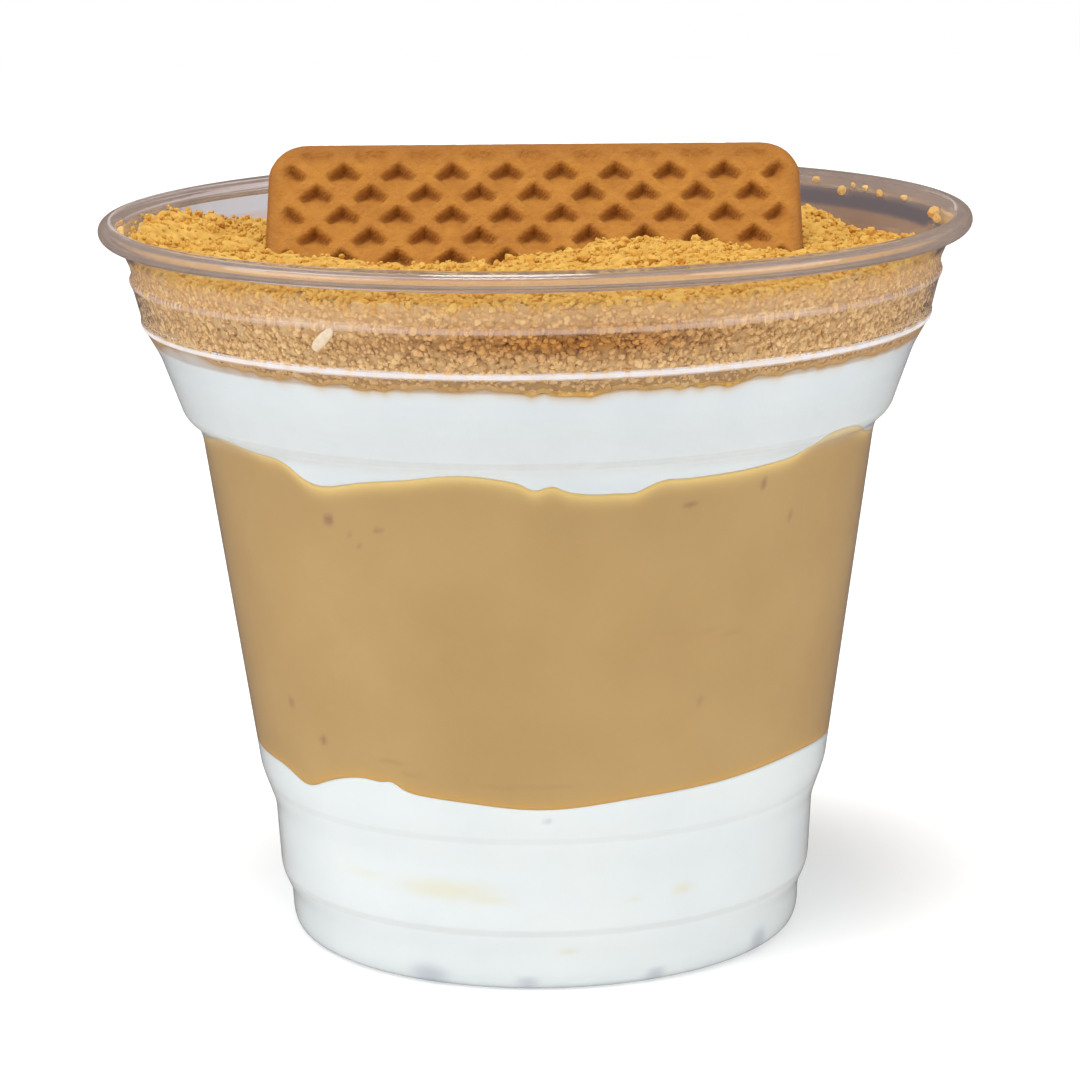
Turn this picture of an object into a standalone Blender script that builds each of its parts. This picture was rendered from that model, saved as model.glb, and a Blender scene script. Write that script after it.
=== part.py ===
"""A clear cup of frozen yogurt: two layers of yogurt with a caramel layer between them,
biscuit crumbs on top and a waffle biscuit that stands in the crumbs.

Lengths are in metres. The origin is the middle of the cup's foot, +Z is up and the front
of the cup faces -Y. Angles round the cup are in degrees: 0 is the front, and positive
angles run towards +X. Sizes written as plain numbers below are in millimetres.
"""

import math
import random

import bmesh
import bpy
from mathutils import Matrix, Vector, noise

MM = 0.001
GAP = 0.3  # between pieces that touch
MERGE = 0.01 * MM
SIDES = 44  # of every turned shape

# Cup: heights and radii of the outside of its thin wall
WALL = 0.6
BASE_RISE = 1.2  # of the middle of the base above the foot
BASE_RADIUS = 21.0
FOOT_INNER, FOOT_OUTER = 22.2, 26.0
FOOT_EDGE = (27.1, 0.55)
# Each tier of the wall from the foot up, as the height and radius of its points
TIERS = (
    ((1.6, 27.5), (4.5, 27.65)),  # foot band
    ((6.8, 28.7), (14.3, 29.15)),  # low band
    ((18.4, 30.6), (54.7, 35.75), (56.0, 36.3)),  # long taper, with the cove over it
    ((57.0, 37.6), (63.7, 40.0)),  # upper band
    ((66.4, 41.5), (70.7, 42.6)),  # collar
    ((71.35, 43.0),),  # stacking ring
    ((71.9, 42.65), (72.9, 42.8)),  # neck
)
# Rolled rim: an arc that leans out over the neck, then a short lip that turns back in
RIM_RADIUS = 46.0
CUP_HEIGHT = 77.6
CURL_RADIUS = 1.05
CURL_FROM, CURL_TO, CURL_STEPS = 155, -80, 6
LIP_LENGTH = 0.25
LIP_HEADING = 190.0  # degrees from outwards

# Edges between the layers at the wall: a height and its swells, each as angle, width, rise
CARAMEL_FOOT = (
    21.5,
    (
        *((0, 13, -0.9), (-33, 9, 1.2), (-53, 5, -0.9), (58, 20, 0.8)),
        *((110, 20, -0.5), (165, 22, 0.9), (-110, 20, 0.7)),
    ),
)
CARAMEL_TOP = (
    55.0,
    (
        *((-58, 11, 2.1), (-38, 9, -1.0), (-13, 8, 1.1), (10, 12, -1.1), (60, 13, 2.5)),
        *((120, 18, -0.9), (170, 16, 1.3), (-115, 20, -1.2)),
    ),
)
CRUMB_FOOT = (
    65.6,
    (
        *((-60, 10, 1.4), (5, 9, -0.8), (25, 7, -0.7), (-22, 8, -0.4)),
        *((105, 18, 0.6), (170, 20, -0.7), (-130, 16, 0.5)),
    ),
)
SWELL_REACH = 26.0  # radius inside which the swells fade out
BLOCK_RINGS = (12.0, 24.0, 34.0, 50.0)
SKY = 95.0  # top of every cutter

# Crumbs: the height of the heap at the wall, and across its middle
CRUMB_WALL = (
    74.2,
    ((-107, 15, 1.6), (-150, 20, -2.8), (172, 24, -1.9), (118, 30, -2.4), (134, 12, 1.3)),
)
CRUMB_MIDDLE = 70.9
CRUMB_HUMP = (13.0, 13.5, 2.1)  # across the middle: place on X, width, rise
CRUMB_BOWL = 3.5  # power with which the heap rises to the wall
CRUMB_REACH = 41.5
CRUMB_SPACING = 3.1
CRUMB_BUMP = 0.75
LUMPS = 24
LUMP_SIZE = (1.1, 1.9)  # least and greatest radius
LUMP_SPREAD = 38.0  # farthest from the axis
LUMP_APART = 5.0

# Waffle biscuit
BISCUIT_WIDTH = 58.2
BISCUIT_LENGTH = 26.0
BISCUIT_THICK = 5.3
BISCUIT_CORNER = 4.3
BISCUIT_EDGE = 0.9
BISCUIT_LEAN = 46.5  # degrees back from upright
BISCUIT_TOP = (19.0, 82.7)  # the top edge of its front face, as distance back and height
BISCUIT_TURN = -0.55  # degrees in its own plane, which lifts its left end
PIT_PERIOD = 5.95
PIT_HALF = 2.2  # half the diagonal of its mouth
PIT_DEPTH = 1.3
PIT_ABOVE = 0.3  # of the cutter above the face
FIRST_ROW = 1.9  # from the top edge
EDGE_PIT = 0.55  # share of the size of a pit by the edge
PIT_MARGIN = 3.2

SEED = 7


def clear_scene():
    for obj in list(bpy.data.objects):
        bpy.data.objects.remove(obj, do_unlink=True)


def new_collection(name):
    collection = bpy.data.collections.new(name)
    bpy.context.scene.collection.children.link(collection)
    return collection


def material(name, colour, roughness, metallic=0.0):
    made = bpy.data.materials.new(name)
    made.use_nodes = True
    shader = made.node_tree.nodes["Principled BSDF"]
    shader.inputs["Base Color"].default_value = (*colour, 1)
    shader.inputs["Roughness"].default_value = roughness
    shader.inputs["Metallic"].default_value = metallic
    return made


def clear_plastic():
    made = material("clear plastic", (0.93, 0.94, 0.95), 0.05)
    shader = made.node_tree.nodes["Principled BSDF"]
    shader.inputs["Transmission Weight"].default_value = 0.9
    shader.inputs["IOR"].default_value = 1.57
    return made


def place(name, mesh, collection, look=None):
    obj = bpy.data.objects.new(name, mesh)
    collection.objects.link(obj)
    if look:
        mesh.materials.append(look)
    return obj


def as_cutter(obj):
    obj.hide_render = True
    obj.display_type = "WIRE"
    return obj


def boolean(obj, operation, cutter):
    """Adds a Boolean by an object or by all the objects in a collection."""
    step = obj.modifiers.new(operation.title(), "BOOLEAN")
    step.operation = operation
    if isinstance(cutter, bpy.types.Collection):
        step.operand_type = "COLLECTION"
        step.collection = cutter
    else:
        step.object = cutter


def apply_modifiers(obj):
    """Puts the shape that the object's modifiers make into its mesh."""
    bpy.context.view_layer.update()
    shape = obj.evaluated_get(bpy.context.evaluated_depsgraph_get())
    made = bpy.data.meshes.new_from_object(shape)
    obj.modifiers.clear()
    obj.data = made


def inset(line, distance):
    """The line moved to its left, with mitred corners."""
    points = [Vector(point) for point in line]
    sides = []
    for start, end in zip(points, points[1:]):
        run = (end - start).normalized()
        sides.append(Vector((-run.y, run.x)))
    moved = []
    for point, first, second in zip(points, sides[:1] + sides, sides + sides[-1:]):
        moved.append(point + (first + second) * distance / (1 + first.dot(second)))
    return moved


def wall_line():
    """The outside of the cup from the middle of its base to its neck, as radius and height."""
    line = [(0, BASE_RISE), (BASE_RADIUS, BASE_RISE), (FOOT_INNER, 0), (FOOT_OUTER, 0), FOOT_EDGE]
    for tier in TIERS:
        line += [(radius, height) for height, radius in tier]
    return line


def curl_line():
    """The hollow side of the rolled rim, from the neck to the tip of the lip."""
    middle = Vector((RIM_RADIUS - CURL_RADIUS, CUP_HEIGHT - CURL_RADIUS))
    line = []
    for step in range(CURL_STEPS + 1):
        angle = math.radians(CURL_FROM + (CURL_TO - CURL_FROM) * step / CURL_STEPS)
        line.append(middle + (CURL_RADIUS - WALL) * Vector((math.cos(angle), math.sin(angle))))
    heading = math.radians(LIP_HEADING)
    line.append(line[-1] + LIP_LENGTH * Vector((math.cos(heading), math.sin(heading))))
    return line


def turned(name, profile, collection, look=None):
    """A profile of radii and heights turned round the cup's axis."""
    mesh = bpy.data.meshes.new(name)
    corners = [(radius * MM, 0, height * MM) for radius, height in profile]
    mesh.from_pydata(corners, [(i, i + 1) for i in range(len(corners) - 1)], [])
    obj = place(name, mesh, collection, look)
    turn = obj.modifiers.new("Turn", "SCREW")
    turn.axis = "Z"
    turn.steps = turn.render_steps = SIDES
    turn.use_merge_vertices = True
    turn.merge_threshold = MERGE
    turn.use_smooth_shade = True
    return obj


def make_cup(collection):
    outside = wall_line() + curl_line()
    inside = inset(outside, WALL)
    return turned("cup", inside + outside[::-1], collection, clear_plastic())


def make_filling(name, collection, look):
    """The whole room inside the cup as one solid, a gap clear of the wall."""
    line = inset(wall_line() + curl_line()[:1], WALL + GAP)
    top = line[-1].y
    return turned(name, [(0, top)] + line[::-1], collection, look)


def swelling(base, swells, angle):
    """Height of a layer's edge at one angle round the cup."""
    height = base
    for middle, width, rise in swells:
        apart = (angle - middle + 180) % 360 - 180
        height += rise * math.exp(-((apart / width) ** 2))
    return height


def around(point):
    """Angle round the cup of a point in the plane, with 0 at the front."""
    return math.degrees(math.atan2(point.x, -point.y))


def edge_height(edge, point):
    """Height in metres of a layer's edge under a point: level in the middle, swelling at the wall."""
    base, swells = edge
    share = min(point.xy.length / (SWELL_REACH * MM), 1.0)
    fade = share * share * (3 - 2 * share)
    return (base + fade * (swelling(base, swells, around(point)) - base)) * MM


def make_block(name, edge):
    """The mesh of a cutter that fills the room above a layer's edge."""
    bm = bmesh.new()
    lower = [bm.verts.new((radius * MM, 0, 0)) for radius in (0.0, *BLOCK_RINGS)]
    upper = [bm.verts.new((radius * MM, 0, SKY * MM)) for radius in (BLOCK_RINGS[-1], 0.0)]
    spoke = lower + upper
    for start, end in zip(spoke, spoke[1:]):
        bm.edges.new((start, end))
    bmesh.ops.spin(
        bm,
        geom=bm.verts[:] + bm.edges[:],
        cent=(0, 0, 0),
        axis=(0, 0, 1),
        angle=math.tau,
        steps=SIDES,
        use_merge=True,
    )
    bmesh.ops.remove_doubles(bm, verts=bm.verts, dist=MERGE)
    half_step = Matrix.Rotation(math.pi / SIDES, 3, "Z")  # keeps its corners off those of the wall
    bmesh.ops.rotate(bm, verts=bm.verts, cent=(0, 0, 0), matrix=half_step)
    for vert in bm.verts:
        if vert.co.z < SKY * MM / 2:
            vert.co.z = edge_height(edge, vert.co)
    bmesh.ops.triangulate(bm, faces=bm.faces)
    bmesh.ops.recalc_face_normals(bm, faces=bm.faces)
    mesh = bpy.data.meshes.new(name)
    bm.to_mesh(mesh)
    bm.free()
    return mesh


def make_edge(name, edge, cutters):
    """Two copies of a block, half a gap below and above the edge, so that layers stay apart."""
    mesh = make_block(name, edge)
    pair = []
    for suffix, side in (("below", -1), ("above", 1)):
        cutter = as_cutter(place(f"{name}_{suffix}", mesh, cutters))
        cutter.location.z = side * GAP / 2 * MM
        pair.append(cutter)
    return pair


def crumb_height(point):
    """Height in metres of the heap of crumbs: a shallow bowl that leans up towards the wall."""
    spot, width, rise = CRUMB_HUMP
    middle = CRUMB_MIDDLE + rise * math.exp(-(((point.x / MM - spot) / width) ** 2))
    share = min(point.xy.length / (CRUMB_REACH * MM), 1.1)
    wall = swelling(*CRUMB_WALL, around(point))
    return (middle + (wall - middle) * share**CRUMB_BOWL) * MM


def make_crumb_sky(cutters, chance):
    """A cutter with a bumpy underside, which shapes the top of the crumbs."""
    half = BLOCK_RINGS[-1] * MM
    cells = round(2 * BLOCK_RINGS[-1] / CRUMB_SPACING)
    bm = bmesh.new()
    bmesh.ops.create_grid(bm, x_segments=cells, y_segments=cells, size=half)
    shake = CRUMB_SPACING / 4 * MM
    for vert in bm.verts:
        vert.co.x += chance.uniform(-shake, shake)
        vert.co.y += chance.uniform(-shake, shake)
        vert.co.z = crumb_height(vert.co) + chance.uniform(-CRUMB_BUMP, CRUMB_BUMP) * MM
    bmesh.ops.triangulate(bm, faces=bm.faces)
    raised = bmesh.ops.extrude_face_region(bm, geom=bm.faces[:])["geom"]
    for item in raised:
        if isinstance(item, bmesh.types.BMVert):
            item.co.z = SKY * MM
    bmesh.ops.recalc_face_normals(bm, faces=bm.faces)
    mesh = bpy.data.meshes.new("crumb_sky")
    bm.to_mesh(mesh)
    bm.free()
    return as_cutter(place("crumb_sky", mesh, cutters))


def biscuit_frame():
    """Turns a slab's own axes into its place: across, up along its face, and out of its face."""
    lean = Matrix.Rotation(math.radians(90 - BISCUIT_LEAN), 4, "X")
    turn = lean @ Matrix.Rotation(math.radians(BISCUIT_TURN), 4, "Z")
    back, height = BISCUIT_TOP
    top = Vector((0, back * MM, height * MM))
    inner = Vector((0, -BISCUIT_LENGTH / 2 * MM, -BISCUIT_THICK / 2 * MM))
    return Matrix.Translation(top + turn @ inner) @ turn


def make_slab(name, grow, collection, look=None):
    """A flat block with rounded corners, grown on every side, where the biscuit stands."""
    size = [(side + 2 * grow) * MM for side in (BISCUIT_WIDTH, BISCUIT_LENGTH, BISCUIT_THICK)]
    bm = bmesh.new()
    bmesh.ops.create_cube(bm, size=1, matrix=Matrix.Diagonal((*size, 1)))
    corners = [edge for edge in bm.edges if abs(edge.verts[0].co.z - edge.verts[1].co.z) > MERGE]
    bmesh.ops.bevel(
        bm, geom=corners, offset=(BISCUIT_CORNER + grow) * MM, segments=4, profile=0.5, affect="EDGES"
    )
    mesh = bpy.data.meshes.new(name)
    bm.to_mesh(mesh)
    bm.free()
    slab = place(name, mesh, collection, look)
    slab.matrix_world = biscuit_frame()
    return slab


def pit_places():
    """Middle and size of each pit of the lattice, in the slab's own axes."""
    row_step = PIT_PERIOD / 2
    rows = int((BISCUIT_LENGTH - FIRST_ROW - FIRST_ROW) / row_step) + 1
    for row in range(rows):
        down = FIRST_ROW + row * row_step
        offset = row % 2 * PIT_PERIOD / 2
        columns = int((BISCUIT_WIDTH / 2 - FIRST_ROW - offset) / PIT_PERIOD)
        for column in range(-columns - row % 2, columns + 1):
            across = offset + column * PIT_PERIOD
            by_side = BISCUIT_WIDTH / 2 - abs(across) < PIT_MARGIN
            by_end = min(down, BISCUIT_LENGTH - down) < PIT_MARGIN
            wide = EDGE_PIT if by_side else 1.0
            tall = EDGE_PIT if by_end else 1.0
            yield across, BISCUIT_LENGTH / 2 - down, wide, tall


def make_pits(cutters):
    """The pits of both faces: small pyramids that point into the biscuit."""
    bm = bmesh.new()
    mouth = PIT_HALF * (1 + PIT_ABOVE / PIT_DEPTH)
    middle = BISCUIT_THICK / 2 - PIT_DEPTH / 2 + PIT_ABOVE / 2
    for across, along, wide, tall in pit_places():
        for side in (1, -1):
            size = Matrix.Diagonal((wide * MM, tall * MM, side * MM, 1))
            spot = Matrix.Translation((across * MM, along * MM, side * middle * MM))
            bmesh.ops.create_cone(
                bm,
                cap_ends=True,
                segments=4,
                radius1=0.0,
                radius2=mouth,
                depth=PIT_DEPTH + PIT_ABOVE,
                matrix=spot @ size,
            )
    bmesh.ops.recalc_face_normals(bm, faces=bm.faces)
    mesh = bpy.data.meshes.new("pits")
    bm.to_mesh(mesh)
    bm.free()
    pits = as_cutter(place("pits", mesh, cutters))
    pits.matrix_world = biscuit_frame()
    return pits


def make_biscuit(collection, cutters):
    look = material("waffle biscuit", (0.53, 0.235, 0.045), 0.75)
    slab = make_slab("waffle_biscuit", 0.0, collection, look)
    edges = slab.modifiers.new("Soft edges", "BEVEL")
    edges.width = BISCUIT_EDGE * MM
    edges.segments = 2
    edges.limit_method = "ANGLE"
    edges.angle_limit = math.radians(60)
    boolean(slab, "DIFFERENCE", make_pits(cutters))
    return slab


def in_slab(point, reach):
    """True if a point lies in the biscuit or within reach of it."""
    own = biscuit_frame().inverted() @ point
    sides = (BISCUIT_WIDTH, BISCUIT_LENGTH, BISCUIT_THICK)
    return all(abs(value) < side / 2 * MM + reach for value, side in zip(own, sides))


def lump_spots(chance):
    """Spread places on the heap for its larger lumps, clear of the biscuit and of each other."""
    spots = []
    while len(spots) < LUMPS:
        distance = LUMP_SPREAD * MM * math.sqrt(chance.random())
        angle = chance.uniform(0, math.tau)
        spot = Vector((distance * math.sin(angle), -distance * math.cos(angle), 0))
        spot.z = crumb_height(spot)
        size = chance.uniform(*LUMP_SIZE) * MM
        near = any((spot - other).length < LUMP_APART * MM for other, _ in spots)
        if not near and not in_slab(spot, 2 * size):
            spots.append((spot, size))
    return spots


def make_lumps(chance):
    """Loose-looking lumps of biscuit, each a small uneven ball, to be joined to the heap."""
    lumps = new_collection("lumps")
    for index, (spot, size) in enumerate(lump_spots(chance)):
        bm = bmesh.new()
        bmesh.ops.create_icosphere(bm, subdivisions=1, radius=size)
        for vert in bm.verts:
            vert.co *= 1 + 0.25 * noise.noise(vert.co / size + spot / MM)
        mesh = bpy.data.meshes.new(f"lump_{index}")
        bm.to_mesh(mesh)
        bm.free()
        lump = place(f"lump_{index}", mesh, lumps)
        lump.location = spot + Vector((0, 0, size / 3))
    return lumps


def keep_largest(obj):
    """Drops loose scraps, so that the object is one piece."""
    bm = bmesh.new()
    bm.from_mesh(obj.data)
    left = set(bm.verts)
    pieces = []
    while left:
        piece, reach = set(), [left.pop()]
        while reach:
            vert = reach.pop()
            piece.add(vert)
            for edge in vert.link_edges:
                other = edge.other_vert(vert)
                if other in left:
                    left.discard(other)
                    reach.append(other)
        pieces.append(piece)
    largest = max(pieces, key=len)
    bmesh.ops.delete(bm, geom=[vert for vert in bm.verts if vert not in largest], context="VERTS")
    bm.to_mesh(obj.data)
    bm.free()


def make_crumbs(collection, cutters, foot, pocket):
    look = material("biscuit crumbs", (0.66, 0.36, 0.09), 0.85)
    crumbs = make_filling("biscuit_crumbs", collection, look)
    chance = random.Random(SEED)
    boolean(crumbs, "INTERSECT", foot)
    boolean(crumbs, "DIFFERENCE", make_crumb_sky(cutters, chance))
    lumps = make_lumps(chance)
    boolean(crumbs, "UNION", lumps)
    boolean(crumbs, "DIFFERENCE", pocket)
    apply_modifiers(crumbs)
    keep_largest(crumbs)
    for lump in list(lumps.objects):
        bpy.data.objects.remove(lump, do_unlink=True)
    bpy.data.collections.remove(lumps)
    return crumbs


def make_layers(collection, cutters):
    """The food from the base of the cup up to the crumbs."""
    pale = material("yogurt", (0.80, 0.83, 0.82), 0.45)
    brown = material("caramel cream", (0.50, 0.33, 0.14), 0.4)
    caramel_foot = make_edge("caramel_foot", CARAMEL_FOOT, cutters)
    caramel_top = make_edge("caramel_top", CARAMEL_TOP, cutters)
    crumb_foot = make_edge("crumb_foot", CRUMB_FOOT, cutters)
    pocket = as_cutter(make_slab("pocket", GAP, cutters))

    bottom = make_filling("yogurt_bottom", collection, pale)
    boolean(bottom, "DIFFERENCE", caramel_foot[0])

    caramel = make_filling("caramel_layer", collection, brown)
    boolean(caramel, "INTERSECT", caramel_foot[1])
    boolean(caramel, "DIFFERENCE", caramel_top[0])

    top = make_filling("yogurt_top", collection, pale)
    boolean(top, "INTERSECT", caramel_top[1])
    boolean(top, "DIFFERENCE", crumb_foot[0])
    boolean(top, "DIFFERENCE", pocket)

    make_crumbs(collection, cutters, crumb_foot[1], pocket)


def main():
    clear_scene()
    collection = new_collection("frozen yogurt cup")
    cutters = new_collection("cutters")
    make_cup(collection)
    make_layers(collection, cutters)
    make_biscuit(collection, cutters)


main()
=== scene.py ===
"""The looks of the frozen yogurt cup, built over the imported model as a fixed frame.

Lengths in the scene are in metres. Sizes written as plain numbers below are in millimetres.
Angles round the cup are in degrees: 0 is the front, and positive angles run towards +X.
"""

import math

import bmesh
import bpy
import numpy as np
from mathutils import Matrix, Vector


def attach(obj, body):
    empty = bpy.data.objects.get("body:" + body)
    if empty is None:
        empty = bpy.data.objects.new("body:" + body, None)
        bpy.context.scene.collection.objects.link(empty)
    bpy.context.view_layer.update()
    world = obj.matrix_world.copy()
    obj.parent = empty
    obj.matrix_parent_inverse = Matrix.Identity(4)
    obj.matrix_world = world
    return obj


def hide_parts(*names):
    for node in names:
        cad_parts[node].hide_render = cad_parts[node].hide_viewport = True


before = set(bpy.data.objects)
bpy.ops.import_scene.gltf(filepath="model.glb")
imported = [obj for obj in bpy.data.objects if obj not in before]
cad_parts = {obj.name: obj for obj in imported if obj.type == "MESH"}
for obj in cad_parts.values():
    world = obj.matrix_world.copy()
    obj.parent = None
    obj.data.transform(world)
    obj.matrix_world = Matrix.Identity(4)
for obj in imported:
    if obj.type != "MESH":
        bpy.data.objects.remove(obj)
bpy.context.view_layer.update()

MM = 0.001
BODY = "root"

# Cup: heights and radii of the outside of its thin wall, as in the CAD
WALL = 0.6
BASE_RISE = 1.2
BASE_RADIUS = 21.0
FOOT_INNER, FOOT_OUTER = 22.2, 26.0
FOOT_EDGE = (27.1, 0.55)
TIERS = (
    ((1.6, 27.5), (4.5, 27.65)),  # foot band
    ((6.8, 28.7), (14.3, 29.15)),  # low band
    ((18.4, 30.6), (54.7, 35.75), (56.0, 36.3)),  # long taper, with the cove over it
    ((57.0, 37.6), (63.7, 40.0)),  # upper band
    ((66.4, 41.5), (70.7, 42.6)),  # collar
    ((71.35, 43.0),),  # stacking ring
    ((71.9, 42.65), (72.9, 42.8)),  # neck
)
COLLAR = 4  # which tier it is
BEAD = ((66.35, 41.5), (66.6, 41.78), (67.1, 41.88), (67.4, 41.76))  # on the collar's lower edge
RIM_RADIUS = 46.0
CUP_HEIGHT = 77.6
CURL_RADIUS = 1.05
CURL_FROM, CURL_TO, CURL_STEPS = 155, -80, 24
LIP_LENGTH = 0.25
LIP_HEADING = 190.0
CURL_PAST = 22  # of the rim's points lie past its inner side
CORNER = 0.8  # how far from each corner of the wall its curve begins
CORNER_SHARE = 0.45  # the most of a straight part that its curve takes
CORNER_STEPS = 4
CUP_COLUMNS = 144

# Layers: height of each edge at the wall, and its swells as angle, width, rise
IN_WALL = 0.2  # the food reaches this far into the wall
APART = 0.01  # of a layer from the middle of each edge
FOOD_COLUMNS = 400
ROW_SPACING = 0.45
CAP_RINGS = 12
CARAMEL_FOOT = (
    21.5,
    (
        *((0, 15, -0.95), (-36, 8, 1.1), (-30, 2, 0.55), (-53, 6, -1.3), (58, 20, 0.8)),
        *((110, 20, -0.5), (165, 22, 0.9), (-110, 20, 0.7)),
    ),
)
CARAMEL_TOP = (
    55.0,
    (
        *((-60, 14, 2.1), (-46.5, 3.5, 0.9), (-39, 8, -1.4), (-12, 9, 1.2), (-1, 1.6, -0.5)),
        *((2.3, 1.5, 0.35), (10, 9, -1.1), (15.3, 2.2, -0.35), (20.5, 2.5, 0.3), (46, 4, -0.4)),
        *((51, 3.5, 0.4), (57, 12, 2.7), (120, 18, -0.9), (170, 16, 1.3), (-115, 20, -1.2)),
    ),
)
CRUMB_FOOT = (
    65.6,
    (
        *((-60, 10, 1.4), (5, 9, -0.8), (25, 7, -0.7), (-22, 8, -0.4)),
        *((105, 18, 0.6), (170, 20, -0.7), (-130, 16, 0.5)),
    ),
)
SWELL_REACH = 26.0  # radius inside which the swells fade out
# Waves of the crumbs' lower edge: rise, waves round the cup, how far they bend, bends round it
RAGGED_WAVES = ((0.13, 37, 1.3, 11), (0.13, 71, 2.0, 17), (0.052, 139, 1.0, 29))
GOLD_WIDTH, RUST_WIDTH = 0.8, 0.7  # of the caramel's painted edges, at its top and its foot
STAIN_WIDTH = 0.5  # of the stain that the crumbs leave on the yogurt
SOFT_FALL = 1.5  # the higher, the more sudden the end of a painted spot or edge

# Crumbs: the heap's height at the wall and across its middle, and its grain
CRUMB_WALL = (
    74.2,
    ((-107, 15, 1.6), (-150, 20, -2.8), (172, 24, -1.9), (118, 30, -2.4), (134, 12, 1.3)),
)
CRUMB_MIDDLE = 70.9
CRUMB_HUMP = (13.0, 13.5, 2.1)
CRUMB_BOWL = 3.5
CRUMB_REACH = 41.5
CRUMB_PAST = 1.1  # share of that reach beyond which the heap's height stays the same
CRUMB_COLUMNS = 1100  # along the wall
HEAP_COLUMNS = 600
CRUMB_STEP = 0.2  # between rows along the wall
HEAP_STEP = 0.42
LEAST_COLUMNS = 6
FOOT_RINGS = ((3, 0.9), (6, 0.6), (24, 0.3))  # columns between points, share of the way out
GRAIN = 0.78  # spacing of the granules
CLUMP = 2.3
CLUMP_TONE = 0.35  # share of a granule's tone that comes from its clump
MEAN_BUMP = 0.6  # height of a bump that lies level with the heap
# Waves of the heap's top along x and y: waves, how far they bend, bends
HEAP_WAVES = ((0.55, 1.1, 0.31), (0.47, 0.9, 0.36))
GRAIN_RISE = 0.36
CLUMP_RISE = 0.6
WAVE_RISE = 0.3
CRUMB_SHIFT = 60.0  # keeps the cells' places positive
# Bumps: cells before they repeat, place in the cell, half width and height, with what chance adds
TABLE = 1024
BUMP_MARGIN, BUMP_PLAY = 0.15, 0.7
BUMP_WIDE, BUMP_WIDER = 0.5, 0.3
BUMP_TALL, BUMP_TALLER = 0.6, 0.4
CREVICE = 0.35  # deepest gap between granules at the wall
SMALL_RISE, SMALL_FILL = 0.8, 0.4  # height of the small granules, and how far they fill gaps
SMALL_TONE = 0.4  # share of the tone at the wall that comes from the small granules
LEAST_DEPTH = 0.5  # of the heap's side, as it is set back
RECESS = 0.4  # of the heap's side behind the granules that touch the wall
PACKING = 0.95  # the smaller, the closer the granules lie at the wall
SEALED = 0.9  # height above the lower edge over which the gaps open up
# Where the crumbs by the wall are browner: angle, width, height, half height
RICH = (4.0, 24.0, 70.2, 1.6)
WALL_START, WALL_BLEND = 40.2, 0.7  # where the crumbs count as pressed to the wall
LOOSE_BLEND = 1.4  # the same for single granules, down from the heap's top
SEED = 7

FINE_GRAINS = 8600
FINE_GRAIN = (0.15, 0.36)  # least and greatest radius
NUGGETS = 900
NUGGET = (0.3, 0.68)
GRAIN_SPREAD = 43.2
GRAIN_BIAS = 2.0  # the higher, the more of the granules are small
GRAIN_LIFT = (-0.1, 0.7)  # share of its radius that a granule's middle lies over the heap
CLEAR_BY = 0.6  # the same from the biscuit
GRAIN_STRETCH, GRAIN_DENT = (0.7, 1.2), (0.78, 1.12)
WALL_GRAINS = 9500
WALL_GRAIN = (0.2, 0.6)
WALL_BIAS = 1.5
WALL_FOOT = 0.7  # the same from the crumbs' lower edge
IN_BY = 0.65  # the same in from the wall

# Stray crumbs on the inside of the rim: angle, height, radius of the crumb
STRAYS = (
    *((133, 76.6, 0.4), (127, 75.8, 0.5), (125, 76.5, 0.35), (122, 76.4, 0.4), (118, 76.1, 0.5)),
    *((111, 76.2, 0.4), (97, 75.9, 0.7), (94, 75.5, 0.6), (-78, 76.9, 0.35), (-72, 76.8, 0.4)),
    *((-84, 76.7, 0.45), (-90, 76.9, 0.3), (-53, 76.7, 0.35), (-50, 76.5, 0.3), (-45, 76.8, 0.3)),
)
STRAY_IN = 0.7  # share of its radius that a crumb's middle lies in from the wall
STRAY_PRESSED = 0.6  # how far it is as pale as crumbs by the wall

# Sliver: angle and height, length, width and thickness, tilt, and lean with the wall
SLIVER_AT = (-29.6, 70.1)
SLIVER_SIZE = (3.5, 1.15, 0.8)
SLIVER_TILT = 42
SLIVER_LEAN = 14.3
SLIVER_IN_WALL = 0.35
SLIVER_BLUNT = 0.8  # the lower, the blunter its ends
SLIVER_DETAIL = 4

# Waffle biscuit, as in the CAD
BISCUIT_WIDTH = 58.2
BISCUIT_LENGTH = 26.0
BISCUIT_THICK = 5.3
BISCUIT_CORNER = 4.3
BISCUIT_EDGE = 0.9
BISCUIT_LEAN = 46.5
BISCUIT_TOP = (19.0, 82.7)
BISCUIT_TURN = -0.55
BISCUIT_STEP = 0.28
PIT_PERIOD = 5.95
PIT_HALF = 2.2
PIT_DEPTH = 1.3
PIT_WALL = 0.42  # share of a pit's half width that its walls slope over
PIT_RAMP = 0.8  # share of its height over which its floor comes up to the lower corner
PIT_ROOF = (0.55, 0.2)  # how far down a pit its walls are in shade, and how softly that ends
PIT_LIP = 0.25  # share of its half width over which the shade comes in
PIT_FLOOR = (0.2, 0.4, 0.35)  # half width of its bare floor, blend from there, shade of the floor
FIRST_ROW = 1.9
PLAIN_MARGIN = 1.1
MARGIN_BLEND = 1.9  # over which the pits come in
TOASTED_MARGIN, TOASTED_TOP = 1.6, 3.4
BISCUIT_GRAIN = 0.6
BISCUIT_ROUGH = 0.15
POCKET = 0.05  # room round the biscuit in what it stands in

# Camera, fitted to the photo
CAMERA_PLACE = (0.0, -409.2, 131.16)
CAMERA_PITCH = 12.318
CAMERA_ROLL = -0.878
CAMERA_LENS = 129.76

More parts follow.
